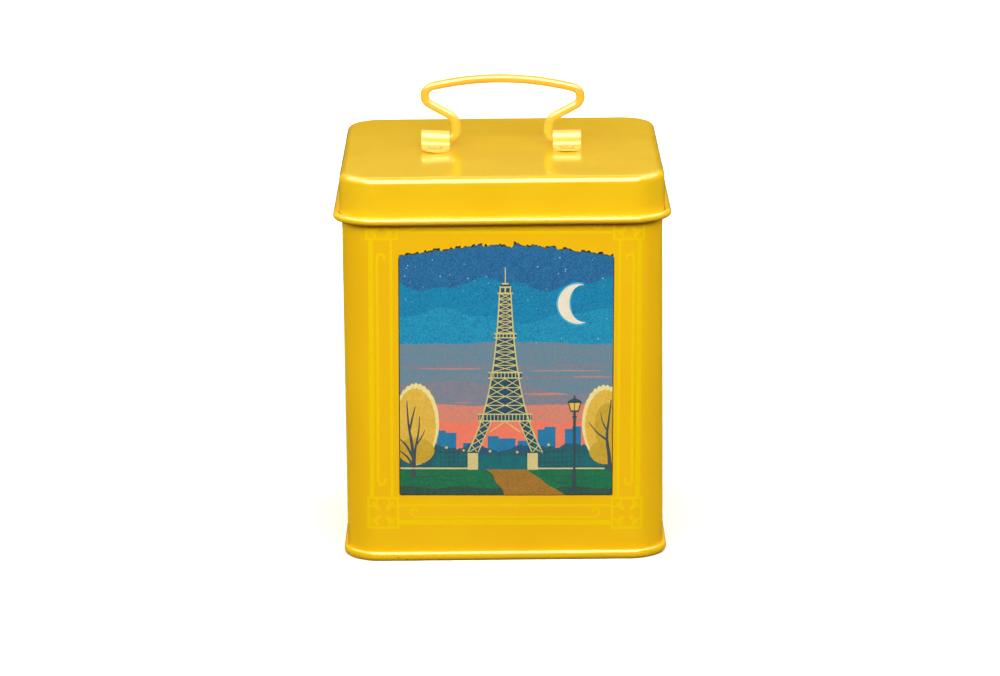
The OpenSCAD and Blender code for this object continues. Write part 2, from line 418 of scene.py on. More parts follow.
enamel = stoved_enamel("yellow_stoved_enamel", "#F3BE08", "#F0B905", 0.13, 0.12)
lid_enamel = stoved_enamel("lemon_yellow_stoved_enamel", "#F4C515", "#F1BF0E", 0.05, 0.015, 0.0012)
# The clips' paler yellow is painted sheen: it stands in for the softbox seen in their flat tops.
clip_enamel_painted_sheen = stoved_enamel("pale_clip_enamel_painted_sheen", "#F2C95A", "#EEC04C", 0.2, 0.04)
# Painted shade: a deeper yellow for the dark line round the edge of each rivet head.
rivet_rim_painted_shade = stoved_enamel("deep_yellow_rivet_rim_painted_shade", "#E4AE3A", "#DEA632", 0.2, 0.0)
wire_enamel = stoved_enamel("dipped_yellow_wire_enamel", "#E6B93C", "#E1AF31", 0.16, 0.02)
print("enamels", enamel.name, clip_enamel_painted_sheen.name, wire_enamel.name)

# %% [markdown]
# Inside, the tin is plain electrolytic tinplate: steel with a bright tin skin.
# It is a metal with fine rolling lines along the strip, a soft crystal
# mottling of a few millimetres, and a slightly warm grey. The lines run round
# the body, so they are stretched level with the mouth.

# %% Bare tinplate
def bare_tinplate():
    """Metal with rolling lines 0.35 mm apart, long in X and Y, and a 5 mm mottling in colour and
    roughness."""
    material, tree, place = new_finish("bare_tinplate")
    lines = noise(tree, place, 0.35, 2, (0.02, 0.02, 1))
    mottle = noise(tree, place, 5, 3)
    tone = blend_colour(tree, spread(tree, mottle, 0.35, 0.65), rgb("#DCD9D0"), rgb("#D0CDC3"))
    tone = blend_colour(tree, spread(tree, lines, 0.3, 0.7, 0, 0.25), tone, rgb("#E4E1D8"))
    rough = spread(tree, mottle, 0.3, 0.7, 0.34, 0.4)
    normal = bumps(tree, [(lines, 0.003), (mottle, 0.006)])
    finish_with(tree, {"Base Color": tone, "Metallic": 1.0, "Roughness": rough, "Normal": normal})
    return material


tinplate = bare_tinplate()
print("metal", tinplate.name)

# %% [markdown]
# The body is one strip of tinplate bent round and locked to itself down the
# middle of the back. Its mouth is curled inwards so that no raw edge is left,
# and its foot is turned up as the body hook of the double seam. The profile is
# one line from the hook, round the bend, up the wall and into the curl.

# %% Body wall
WALL_R = 11.835
HOOK_R = 12.535
SEAM_LOW, SEAM_HIGH = 8.4, 129.6
SEAM_PRESSED, GROOVE_DEPTH = 0.99, 0.15

body_line = np.concatenate([
    straight(HOOK_R, 2.5, HOOK_R, 0.845, 3),
    arc(12.185, 0.845, 0.35, 0, -180, 9),
    straight(WALL_R, 0.845, WALL_R, 4.0, 3),
    straight(WALL_R, 3.9, WALL_R, 133.4, 62),
    arc(11.0, 133.6, 0.835, 0, 305, 22),
])
body_out, body_side = sheet_outline(body_line)
body_z = body_out[:, 1]
upper = np.broadcast_to(body_z[:, None], (len(body_z), len(AXES)))
wall = (body_z > 3.9) & (body_z < 132.7) & (np.abs(body_out[:, 0] - WALL_R) < 0.2)
rise = wall_rise(ALONG[None], upper, FACE[None]) * wall[:, None]
seam_starts = smooth(upper, SEAM_LOW - 0.6, SEAM_LOW + 0.6)
seam_stops = 1 - smooth(upper, SEAM_HIGH - 0.6, SEAM_HIGH + 0.6)
seam = seam_starts * seam_stops * (FACE == 2)[None] * wall[:, None]
groove = GROOVE_DEPTH * ((ALONG > 1.79) & (ALONG < 2.11))[None] * seam * (body_side > 0)[:, None]
ridge = SEAM_PRESSED * (np.abs(ALONG) < 1.77)[None] * seam * (body_side < 0)[:, None]
body_r = body_out[:, :1] + rise - groove - ridge


def rows_slot(sides, keep_outside=None):
    """Material number of each face of a closed grid: 0 outside, 1 on the inner side of the sheet, row
    by row, and 0 wherever keep_outside is true."""
    slot = (sides < 0).astype(int)
    if keep_outside is not None:
        slot = np.where(keep_outside, 0, slot)
    return np.repeat(slot, len(AXES))


def mark_stretch(piece, share):
    """Writes the point attribute stretch from a function of the points in mm."""
    mesh = piece.data
    flat = np.empty(len(mesh.vertices) * 3)
    mesh.vertices.foreach_get("co", flat)
    values = share(flat.reshape(-1, 3) / MM)
    mesh.attributes.new("stretch", "FLOAT", "POINT").data.foreach_set("value", values.astype(np.float32))


def from_axis(p):
    """Distance of each point from the nearest corner axis line: the r of the profiles."""
    over = np.clip(np.abs(p[:, :2]) - CORNER_AXIS, 0, None)
    return np.linalg.norm(over, axis=1)


body_shell = shell_of(carry_round(body_r, body_z), True, rows_slot(body_side))
body = make_piece("tin_body", [body_shell], [enamel, tinplate], 50)
mark_stretch(body, lambda p: (p[:, 2] > 132.5) | (p[:, 2] < 3.5))
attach(body, "tin")
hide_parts("body_wall")

# %% [markdown]
# The base is a shallow pan pressed from sheet. Its rim is rolled round the body
# hook to make the double seam, the bead that the tin stands on. The line goes
# from the middle of the panel, down the chuck wall, round the foot, up the
# outside of the bead and back down inside it as the end hook. The panel also
# has one low pressed step, which stiffens it.

# %% Base panel and double seam
PANEL_Z, STEP_UP = 3.365, 0.35
panel_in = np.linspace(0, 1, 12)[:-1]
bead = [
    (11.485, 2.3), (11.485, 1.2), (11.54, 0.72), (11.78, 0.33), (12.18, 0.19), (12.62, 0.42), (12.93, 0.95),
    (13.04, 1.6), (12.98, 2.2), (12.79, 2.7), (12.53, 3.0), (12.31, 3.05), (12.2, 2.9), (12.185, 2.5),
    (12.185, 1.1),
]
base_line = np.concatenate([arc(10.985, 2.865, 0.5, 90, 0, 7), curve_through(bead, 64)])


def with_panel(line, shares, first):
    """Outline of a sheet whose line starts (first) or ends in the middle of a flat panel. The outline
    begins and ends at the panel's edge, and panel rows go from there to a pole on both faces of the
    sheet. Gives r, z, side and shrink."""
    out, sides = sheet_outline(line, round_start=not first, round_end=first)
    if not first:
        out, sides = np.roll(out, -len(line), axis=0), np.roll(sides, -len(line))
    count = len(shares)
    rows = np.concatenate([np.repeat(out[:1], count, 0), out, np.repeat(out[-1:], count, 0)])
    sides = np.concatenate([np.full(count, sides[0]), sides, np.full(count, sides[-1])])
    shrink = np.concatenate([shares, np.ones(len(out)), shares[::-1]])
    return rows[:, 0], rows[:, 1], sides, shrink


base_r, base_z, base_side, base_shrink = with_panel(base_line, panel_in, True)
base_z = base_z + STEP_UP * smooth(-base_shrink, -0.9, -0.82) * (np.abs(base_z - PANEL_Z) < 0.3)
base_shell = shell_of(carry_round(base_r, base_z, base_shrink), False, rows_slot(base_side[:-1]))
base = make_piece("tin_base", [base_shell], [enamel, tinplate], 50)
mark_stretch(base, lambda p: from_axis(p) > 12.4)
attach(base, "tin")
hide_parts("base_panel")

# %% [markdown]
# The lid is drawn in one stroke from a flat blank: a flat top, a soft shoulder,
# a straight skirt, and a hollow curl rolled outwards round its edge as a grip.
# The line runs from the free edge of the curl, up the skirt and over the
# shoulder to the middle of the top. The curl shows the varnished side as well.

# %% Lid
SKIRT_R, SHOULDER_Z, SHOULDER_R = 12.565, 132.9, 2.335
CURL_Z, CURL_R = 120.53, 1.165
lid_line = np.concatenate([
    arc(SKIRT_R + CURL_R, CURL_Z, CURL_R, 125, -180, 26),
    straight(SKIRT_R, CURL_Z, SKIRT_R, SHOULDER_Z, 9),
    arc(SKIRT_R - SHOULDER_R, SHOULDER_Z, SHOULDER_R, 0, 90, 14),
])
panel_out = np.concatenate([np.linspace(0, 0.9, 11), [0.96]])
lid_r, lid_z, lid_side, lid_shrink = with_panel(lid_line, panel_out, False)
curl_rows = (lid_z < 121.9) & (lid_r > 12.3)
lid_grid = carry_round(lid_r, lid_z, lid_shrink)
lid_shell = shell_of(lid_grid, True, rows_slot(lid_side, curl_rows))
lid = make_piece("lid_shell", [lid_shell], [lid_enamel, tinplate], 50)
mark_stretch(lid, lambda p: from_axis(p) > 12.8)
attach(lid, "lid")
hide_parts("lid_pan")

# %% [markdown]
# Each clip is one strap of tinplate, folded over the wire. It starts at the
# front, lies on the lid, runs back and up round the wire, and folds forward
# again on top of itself, and the two layers are riveted down together. The
# front end is cut to a half circle about the rivet. The surface is a thin
# rounded bar section carried along that folded line: its half-width is 5 mm,
# and past the rivet it shrinks as the square root of 25 minus the distance
# squared.

# %% Strap clips
STRAP = 0.4
CLIP_HALF = 5.0
FOLD_UP = 2.0
FOLD_BACK = np.sqrt(4.0 ** 2 - (PIVOT_UP - FOLD_UP) ** 2)
FOLD_TURN = np.degrees(np.arctan2(PIVOT_UP - FOLD_UP, FOLD_BACK))
LOWER, UPPER = STRAP / 2, 1.5 * STRAP + 0.03

round_y = RIVET_Y - CLIP_HALF * np.sin(np.radians([90, 89, 86, 80, 72, 62, 50, 36, 20]))
strap_line = np.concatenate([
    np.stack([round_y, np.full(9, LOWER)], -1),
    straight(RIVET_Y, LOWER, 0, LOWER, 8),
    arc(0, PIVOT_UP, PIVOT_UP - LOWER, -90, 180 + FOLD_TURN, 34),
    arc(-FOLD_BACK, FOLD_UP, FOLD_UP - UPPER, FOLD_TURN - 6, -90, 12),
    straight(-FOLD_BACK, UPPER, RIVET_Y, UPPER, 6),
    np.stack([round_y[::-1], np.full(9, UPPER)], -1),
])


def bar_section(half_width, half_height, corner):
    """Rounded bar: the four corner arcs of radius corner, set at half width and half height less that
    radius, each kept at or above 0. Two more points just inside each flat keep the shading of the flats
    flat."""
    quarters = [np.linspace(start, start + 90, 5) for start in (0, 90, 180, 270)]
    picks = ([0, 1, 2, 3, 4, 4], [0, 0, 1, 2, 3, 4]) * 2
    a = np.radians(np.concatenate([quarter[pick] for quarter, pick in zip(quarters, picks)]))
    right_half, left_half = [1, 1, 1, 1, 1, 0.93], [-0.93, -1, -1, -1, -1, -1]
    sx = np.array(right_half + left_half + left_half[::-1] + right_half[::-1])
    sy = np.repeat([1, 1, -1, -1], 6)
    flat_x = np.clip(half_width - corner, 0, None)[:, None] * sx
    flat_y = np.clip(half_height - corner, 0, None)[:, None] * sy
    round_x = np.minimum(corner, half_width)[:, None] * np.cos(a)
    round_y = np.minimum(corner, half_height)[:, None] * np.sin(a)
    return flat_x + round_x, flat_y + round_y


def strap_shell(centre_x):
    """Section points (across, off) placed at x = centre + across, (y, z) = line + off * normal. The
    first and last sections have no width, so the shell closes on them."""
    reach = np.clip(RIVET_Y - strap_line[:, 0], 0, CLIP_HALF)
    half_width = np.sqrt(np.clip(CLIP_HALF ** 2 - reach ** 2, 0, None))
    same = np.ones(len(strap_line))
    across, off = bar_section(half_width, STRAP / 2 * same, 0.13 * same)
    n = normals_of(strap_line)
    x = centre_x + across
    y = strap_line[:, :1] + off * n[:, :1]
    z = LID_TOP + strap_line[:, 1:] + off * n[:, 1:]
    return np.stack([x, y, z], -1)


# %% [markdown]
# The left clip was riveted a little askew: its outer edge stands off the lid,
# so a thin dark gap shows under it. It is turned by about three degrees about
# its inner edge, and the rivet head on it turns with it. On the right clip the
# cut front end springs up a little.

# %% Clips in place
ASKEW = 0.058


def askew_rise(x):
    """Rise of the left clip: 0.058 mm for each mm outwards of its inner edge at x = -18.1."""
    return ASKEW * (CLIP_HALF - CLIP_X - x)


def lifted(points, centre_x):
    """Left clip: risen by askew_rise. Right clip: its front end rises by 0.45 mm times t squared, where
    t goes from 0 at 2.3 mm past the rivet to 1 at the end."""
    points = points.copy()
    if centre_x < 0:
        points[..., 2] += askew_rise(points[..., 0])
    else:
        points[..., 2] += 0.45 * np.clip((RIVET_Y - 2.3 - points[..., 1]) / 2.7, 0, 1) ** 2
    return points


def clip_piece(name, centre_x, node):
    """One clip with its finish, carried by the lid."""
    grid = lifted(strap_shell(centre_x), centre_x)
    # The clip enamel's pale tone is painted sheen.
    piece = make_piece(name, [shell_of(grid, False)], [clip_enamel_painted_sheen], 40)
    mark_stretch(piece, lambda p: np.full(len(p), 0.35))
    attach(piece, "lid")
    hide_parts(node)


clip_piece("clip_strap_left", -CLIP_X, "clip_left")
clip_piece("clip_strap_right", CLIP_X, "clip_right")

# %% [markdown]
# The rivets are small solid steel ones with a domed head, enamelled with the
# clip. Under the lid the tail is clenched flat. A profile from the top of the
# dome to the middle of the tail is turned about the rivet's own axis. The edge
# of each head is coloured a deeper yellow, painted shade for the dark line round
# the dome.

# %% Rivets
HEAD_R, HEAD_UP, HEAD_SEAT = 2.55, 1.0, 0.8
TURNS = 40
dome_r = (HEAD_R ** 2 + HEAD_UP ** 2) / (2 * HEAD_UP)
dome_low = HEAD_SEAT + HEAD_UP - dome_r
edge_angle = np.degrees(np.arcsin((HEAD_SEAT - dome_low) / dome_r))
shank = [[1.45, 0.86], [1.45, -0.34]]
tail = [[2.05, -0.335], [2.2, -0.45], [2.2, -0.9], [2.1, -1.06], [1.9, -1.13], [0, -1.13]]
rivet_profile = np.concatenate([
    arc(0, dome_low, dome_r, 90, edge_angle + 5.0, 12),
    arc(2.32, 1.03, 0.17, 40, -90, 6), shank, tail,
])


def rivet_shell(centre_x):
    """Profile (radius, height) turned about the rivet's axis: x = cx + radius * cos a, y = cy + radius
    * sin a."""
    a = np.radians(np.arange(TURNS) * 360.0 / TURNS)
    radius = np.clip(rivet_profile[:, :1], 0, None)
    x = centre_x + radius * np.cos(a)
    y = RIVET_Y + radius * np.sin(a)
    z = LID_TOP + np.broadcast_to(rivet_profile[:, 1:], x.shape)
    return np.stack([x, y, z], -1)


for where, x in (("left", -CLIP_X), ("right", CLIP_X)):
    grid = rivet_shell(x)
    if x < 0:
        head = grid[..., 2] > LID_TOP + 0.2
        grid[..., 2] += head * askew_rise(grid[..., 0])
    radius, height = rivet_profile[1:].T
    # The edge of each head takes the deeper yellow, painted shade round the dome.
    painted_shade_rim = np.repeat((radius > 2.1) & (height > HEAD_SEAT), TURNS).astype(int)
    shell = shell_of(grid, False, painted_shade_rim)
    rivet = make_piece("rivet_domed_" + where, [shell], [clip_enamel_painted_sheen, rivet_rim_painted_shade], 50)
    mark_stretch(rivet, lambda p: np.full(len(p), 0.5))
    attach(rivet, "lid")
    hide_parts("rivet_" + where)

# %% [markdown]
# The bail is one length of steel wire, 3.1 mm thick, bent cold on a jig and
# dipped in enamel. From each cut end in a clip it turns up through a tight
# foot, runs up a short neck, turns out into an arm and back into the long
# gentle arc of the grip. It is a circle carried along that line, and because
# the line is flat the circle needs no twist: one of its axes is always Y. A
# bail is never bent quite true, so this one leans by one degree.

# %% Wire bail
WIRE_R = 1.55
CUT_END, NECK_X = 27.3, 16.2
FOOT_R, BEND_R, SHOULDER_BEND_R = 3.0, 4.3, 3.4
NECK_TOP = 7.25
ARM_TURN, ARM_LONG = 28.426, 8.14755
GRIP_R, GRIP_TOP = 104.2, 24.2
grip_half = np.degrees(np.arcsin(24.0 / (GRIP_R - SHOULDER_BEND_R)))
foot_x, foot_z = NECK_X + FOOT_R, PIVOT_UP + FOOT_R
out_bend = arc(NECK_X + BEND_R, NECK_TOP, BEND_R, 180, 90 + ARM_TURN, 16)
arm_way = np.array([np.cos(np.radians(ARM_TURN)), np.sin(np.radians(ARM_TURN))])
half_line = np.concatenate([
    [[CUT_END, PIVOT_UP]], straight(CUT_END, PIVOT_UP, foot_x, PIVOT_UP, 8),
    arc(foot_x, foot_z, FOOT_R, 270, 180, 16),
    straight(NECK_X, foot_z, NECK_X, NECK_TOP, 2),
    out_bend, straight(*out_bend[-1], *(out_bend[-1] + ARM_LONG * arm_way), 7),
    arc(24.0, 17.9, SHOULDER_BEND_R, ARM_TURN - 90, 90 - grip_half, 20),
])
grip_line = arc(0, GRIP_TOP - GRIP_R, GRIP_R, 90 - grip_half, 90 + grip_half, 36)[1:-1]
wire_line = np.concatenate([half_line, grip_line, half_line[::-1] * [-1, 1]])


def wire_shell(line, radius, around=28):
    """Circle carried along a flat line: point = line + radius * (cos a * normal + sin a * Y). The last
    rows at each end draw in and close, as a filed wire end does."""
    n = normals_of(line)
    along = np.stack([-n[:, 1], n[:, 0]], -1)
    ease = np.radians([90, 60, 30])
    filed = 0.5
    near = np.concatenate([line[:1] - along[:1] * filed * np.sin(a) for a in ease])
    far = np.concatenate([line[-1:] + along[-1:] * filed * np.sin(a) for a in ease[::-1]])
    size = radius - filed * (1 - np.cos(ease))
    size = np.concatenate([[0], size, np.full(len(line), radius), size[::-1], [0]])
    centre = np.concatenate([near[:1], near, line, far, far[-1:]])
    across = np.concatenate([np.tile(n[:1], (4, 1)), n, np.tile(n[-1:], (4, 1))])
    a = np.linspace(0, 2 * np.pi, around, endpoint=False)
    xz = centre[:, None] + (size[:, None] * np.cos(a))[..., None] * across[:, None]
    return np.stack([xz[..., 0], size[:, None] * np.sin(a), LID_TOP + xz[..., 1]], -1)


wire = wire_shell(wire_line, WIRE_R)
lean = np.radians(1.0)
LEAN_ASIDE = 0.35
x, up = wire[..., 0].copy(), wire[..., 2] - LID_TOP - PIVOT_UP
wire[..., 0] = x * np.cos(lean) + up * np.sin(lean) + LEAN_ASIDE
wire[..., 2] = LID_TOP + PIVOT_UP + up * np.cos(lean) - x * np.sin(lean)
bail = make_piece("wire_bail", [shell_of(wire, False)], [wire_enamel], 50)
mark_stretch(bail, lambda p: 0.4 + 0.4 * (p[:, 2] < LID_TOP + 6))
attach(bail, "handle")
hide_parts("handle_wire")

# %% [markdown]
# The decoration is offset printing under the varnish: flat areas of ink, each
# a few hundredths of a millimetre thick here, laid one over the other on the
# wall. Each ink is a thin closed slab that follows the wall's bow, made from a
# patch of (u, v) points, where u is the distance from the middle of the side
# and v is a height. Real ink is thinner, but this keeps every edge crisp.

# %% Patches of ink on a wall
INK_STEP, PATCH_STEP, INTO_WALL = 0.012, 0.0006, -0.03


def slab(patch, lift, face):
    """Closed slab from a patch (n, m, 2) of (u, height) points: the top grid lies lift above the wall,
    its twin 0.03 mm inside the metal, and walls join their borders."""
    n, m = patch.shape[:2]
    u, v = patch[..., 0], patch[..., 1]
    top, under = (on_wall(u, v, np.full((n, m), off), face).reshape(-1, 3) for off in (lift, INTO_WALL))
    number = np.arange(n * m).reshape(n, m)
    ring = np.concatenate([number[0, :-1], number[:-1, -1], number[-1, :0:-1], number[:0:-1, 0]])
    following = np.roll(ring, -1)
    faces = grid_faces(n, m)
    walls = np.stack([ring, ring + n * m, following + n * m, following], -1)
    return np.concatenate([top, under]), np.concatenate([faces, faces[:, ::-1] + n * m, walls[:, ::-1]]), 0


def between(u, low, high, rows=2):
    """Patch between two heights along u: v = low + t * (high - low), t in even rows."""
    u = np.asarray(u, float)
    t = np.linspace(0, 1, rows)[:, None]
    low, high = np.broadcast_to(low, u.shape), np.broadcast_to(high, u.shape)
    return np.stack([np.broadcast_to(u, (rows, len(u))), low * (1 - t) + high * t], -1)


def across(v, left, right, rows=2):
    """Patch between two sides along v: u = left + t * (right - left), t in even rows."""
    return between(v, left, right, rows)[..., ::-1]


def stroke(path, width):
    """Patch of a brush stroke: each point of the path plus and minus half its width along the normal
    there."""
    path = np.asarray(path, float)
    half = np.broadcast_to(width, (len(path),))[:, None] / 2
    n = normals_of(path)
    return np.stack([path - n * half, path + n * half])


def printed(name, patches, ink, layer, face=0):
    """One printed piece on the tin: patches as slabs, layer by layer 0.012 mm apart, each patch a
    little above the last, counting again from the bottom after every twelve patches."""
    shells = [slab(patch, INK_STEP * layer + PATCH_STEP * (k % 12), face) for k, patch in enumerate(patches)]
    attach(make_piece(name, shells, [ink], 30), "tin")


# %% [markdown]
# A printing ink is a thin film of pigment in varnish. Printed from a screen of
# fine dots over a hand-drawn design, it shows a speckle of about a third of a
# millimetre, here drawn at half a millimetre so that it can be seen, with a
# little of the next ink showing through. The gloss is the varnish over it, and
# it follows the sheet's waves like the enamel beside it.

# %% Screened ink
def screened_ink(name, colour, speckle, second, share=0.5, rough=0.2):
    """Ink with 0.55 mm speckle to a second colour, 4 mm unevenness and the sheet's 26 mm waves."""
    material, tree, place = new_finish(name)
    dots = noise(tree, place, 0.55, 3)
    uneven = noise(tree, place, 4, 3)
    speckled = spread(tree, dots, 0.45, 0.57, 0, min(1.0, 1.5 * share))
    tone = blend_colour(tree, speckled, rgb(colour), rgb(speckle))
    tone = blend_colour(tree, spread(tree, uneven, 0.4, 0.7, 0, 0.35), tone, rgb(second))
    haze = spread(tree, dots, 0.3, 0.7, rough, rough + 0.07)
    normal = bumps(tree, [(noise(tree, place, 26, 1), 0.12), (dots, 0.003)])
    finish_with(tree, {"Base Color": tone, "Roughness": haze, "IOR": 1.42, "Normal": normal})
    return material


# %% [markdown]
# The picture is a generic park at dusk: sky in bands from deep blue to coral, a
# lattice lookout mast, a crescent moon, hills, a hedge, lawns with a path, two
# autumn trees and a street lamp. Its size, place, ragged arched top and palette
# are those of the real tin, and the drawing in it is this file's own. Heights
# in it count from its lower edge.

# %% Frame of the picture
LEFT, RIGHT, FOOT = -36.2, 36.9, 23.4
ARCH_SIDE = 84.4
rng = np.random.default_rng(27)
sky_u = np.linspace(LEFT, RIGHT, 236)


def picture(patch):
    """Moves a patch from picture heights to heights on the tin."""
    return patch + np.array([0.0, FOOT])


def band(low, high, rows=4):
    """Band of ink across the whole picture between two heights."""
    return picture(between(sky_u, low, high, rows))


def steps_of(u, cell, size, seed):
    """Stepped noise: a random height for each cell of u, with the steps a little softened."""
    levels = np.random.default_rng(seed).uniform(-1, 1, 400)
    cells = (u - LEFT + 5) / cell
    k, share = cells.astype(int), smooth(cells % 1, 0.8, 1.0)
    return size * (levels[k] * (1 - share) + levels[k + 1] * share)


def arch(u):
    """Top edge: 84.4 at the sides and 3.7 more in the middle as a power of one minus the square, plus
    stepped brush marks that are largest near the middle."""
    bow = 1 - ((u - 0.35) / 36.55) ** 2
    marks = steps_of(u, 2.1, 0.55, 3) * (0.25 + 0.75 * bow) + steps_of(u, 0.62, 0.3, 5)
    return ARCH_SIDE + 3.7 * np.clip(bow, 0, 1) ** 1.15 + marks


top = arch(sky_u)
edge_dark = screened_ink("dark_edge_ink", "#3A2A10", "#5A431A", "#2A1D0C", 0.4)
ragged = top + 0.42 + np.clip(steps_of(sky_u, 0.9, 0.5, 11), -0.25, 0.5)
upright_v = np.linspace(0, 84, 40)
printed("print_edge", [
    band(-0.28, ragged, 16),
    picture(across(upright_v, LEFT - 0.32, LEFT + 1)),
    picture(across(upright_v, RIGHT - 1, RIGHT + 0.3)),
], edge_dark, 1)
print("picture", round(RIGHT - LEFT, 1), "by", round(float(top.max()), 1), "mm")

# %% Sky
def wavy(u, height, size, length, phase):
    """A drifting cloud line: a height, two sines of one length and 0.37 of it, and brush marks."""
    short_wave = 0.4 * size * np.sin(u / (0.37 * length) + 2.1 * phase)
    marks = steps_of(u, 0.8, 0.18, int(10 * phase) + 1)
    return height + size * np.sin(u / length + phase) + short_wave + marks


night = screened_ink("night_blue_ink", "#2E70A1", "#215684", "#2F77A6", 0.55)
azure = screened_ink("azure_ink", "#1E89B2", "#176995", "#1F8CB4", 0.5)
light_azure = screened_ink("light_azure_ink", "#2696BB", "#1A749F", "#2A9ABD", 0.5)
slate = screened_ink("slate_dusk_ink", "#648899", "#7B8590", "#5B8A9F", 0.7)
mauve = screened_ink("mauve_dusk_ink", "#85838D", "#74808E", "#948590", 0.7)
rose = screened_ink("rose_streak_ink", "#B5877F", "#96868A", "#C98C7C", 0.6)
salmon = screened_ink("salmon_ink", "#D88670", "#C98272", "#E08A70", 0.6)
coral = screened_ink("coral_ink", "#F07B60", "#E07A66", "#F5836A", 0.45)

printed("print_night", [band(0, top, 16)], night, 2)
printed("print_azure", [band(30, wavy(sky_u, 74.6, 1.9, 6.4, 2.4), 10)], azure, 3)
printed("print_light_azure", [band(30, wavy(sky_u, 63.6, 2.1, 8.2, 4.1), 8)], light_azure, 4)
printed("print_slate", [band(26, wavy(sky_u, 54.1, 0.45, 9.0, 1.2), 8)], slate, 5)


def streak(u0, u1, v, thick, seed):
    """A flat cloud: a lens between u0 and u1 whose half-thickness falls as the root of one minus the
    square, with stepped edges."""
    u = np.linspace(u0, u1, 60)
    lens = thick * np.sqrt(np.clip(1 - ((2 * u - u0 - u1) / (u1 - u0)) ** 2, 0, 1))
    low, high = steps_of(u, 0.7, 0.1, seed), steps_of(u, 0.9, 0.1, seed + 1) + 0.02
    return picture(between(u, v - lens + low, v + lens + high))


printed("print_mauve", [
    band(26, wavy(sky_u, 39.6, 0.9, 12.0, 3.0) - 2.6 * smooth(sky_u, 4, 20), 6),
    streak(LEFT, 12.0, 45.4, 0.75, 21),
    streak(14.0, RIGHT, 46.0, 0.6, 23),
    streak(-18.0, 30.0, 41.6, 0.55, 25),
], mauve, 6)
printed("print_rose", [
    streak(-30.0, -8.0, 44.9, 0.32, 31),
    streak(8.0, 34.0, 44.2, 0.28, 33),
    streak(6.0, 22.0, 35.9, 0.42, 35),
    streak(-17.5, -11.0, 32.9, 0.26, 37),
    streak(23.0, RIGHT, 42.0, 0.3, 39),
], rose, 7)
printed("print_salmon", [band(18, wavy(sky_u, 31.9, 0.4, 7.0, 5.0), 5)], salmon, 8)
printed("print_coral", [
    band(16, wavy(sky_u, 26.2, 0.55, 5.0, 0.7)),
    streak(9.0, 20.0, 36.0, 0.18, 41),
], coral, 9)

# %% [markdown]
# Stars are small diamonds of a pale blue ink, half a millimetre across or
# less, and the moon is the space between two arcs that meet at its horns: the
# outer one turns about the moon's middle, and the inner one is flatter.

# %% Moon and stars
def crescent(cu, cv, r, thick, grow=0.0):
    """Patch between an outer arc of radius r + grow and an inner arc drawn in by thick at its middle,
    both from horn to horn."""
    a = np.radians(np.linspace(72, 292, 50))
    outer = np.stack([cu + (r + grow) * np.cos(a), cv + (r + grow) * np.sin(a)], -1)
    t = np.linspace(0, np.pi, 50)
    chord = outer[:1] + (outer[-1:] - outer[:1]) * ((1 - np.cos(t)) / 2)[:, None]
    inner = chord.copy()
    inner[:, 0] -= ((chord[:, 0] - outer[:, 0]).max() - thick - 2 * grow) * np.sin(t) ** 0.9
    return picture(np.stack([outer, inner]))


moon_halo = screened_ink("moon_halo_ink", "#45B2CC", "#2FA0C2", "#6CC6D6", 0.4)
pale = screened_ink("ivory_ink", "#EEE3CB", "#E2D6B8", "#F4ECD8", 0.35)
MOON = (25.0, 67.8, 7.0, 3.9)
printed("print_moon_halo", [crescent(*MOON, 0.55)], moon_halo, 5)


def star(u, v, r):
    """Diamond of half-width r about (u, v)."""
    half = r * np.array([0.05, 0.6, 1, 0.6, 0.05])
    return picture(between(u + r * np.array([-1, -0.5, 0, 0.5, 1]), v - half, v + half))


star_u = rng.uniform(LEFT + 1.5, RIGHT - 1.5, 90)
star_v = 50 + 34 * rng.uniform(0, 1, 90) ** 0.6
star_r = rng.choice([0.1, 0.13, 0.19, 0.26], 90, p=[0.4, 0.35, 0.18, 0.07])
off_moon = np.hypot(star_u - 24.5, star_v - MOON[1]) > 8.5
clear = (np.abs(star_u) > 4.5) & off_moon & (star_v < arch(star_u) - 1)
stars = [star(*each) for each in zip(star_u[clear], star_v[clear], star_r[clear])]
star_ink = screened_ink("star_blue_ink", "#9CCBDB", "#86BCD2", "#B4D8E2", 0.4)
printed("print_moon", [crescent(*MOON)], pale, 6)
printed("print_stars", stars, star_ink, 6)
print(len(stars), "stars")

# %% Town, hills and hedge
town = screened_ink("town_blue_ink", "#2A7CA6", "#2A6C9A", "#2F86AC", 0.5)
hills = screened_ink("hill_navy_ink", "#305A76", "#2A4F69", "#37678A", 0.5)
hedge = screened_ink("hedge_teal_ink", "#2A626B", "#26545F", "#2F7074", 0.6)
hedge_light = screened_ink("hedge_green_ink", "#216C70", "#1F6168", "#267A7A", 0.5)


def block(u0, u1, v0, v1):
    """Plain rectangle of ink."""
    return picture(between(np.linspace(u0, u1, 3), v0, v1))


def bush(u0, u1, columns, foot, top_v, hump, size, cell, seed):
    """Low bush between u0 and u1: its top is a height, one half sine wave of size hump and brush
    marks."""
    u = np.linspace(u0, u1, columns)
    wave = hump * np.sin(np.linspace(0, 3, columns))
    return picture(between(u, foot, top_v + wave + steps_of(u, cell, size, seed), 3))


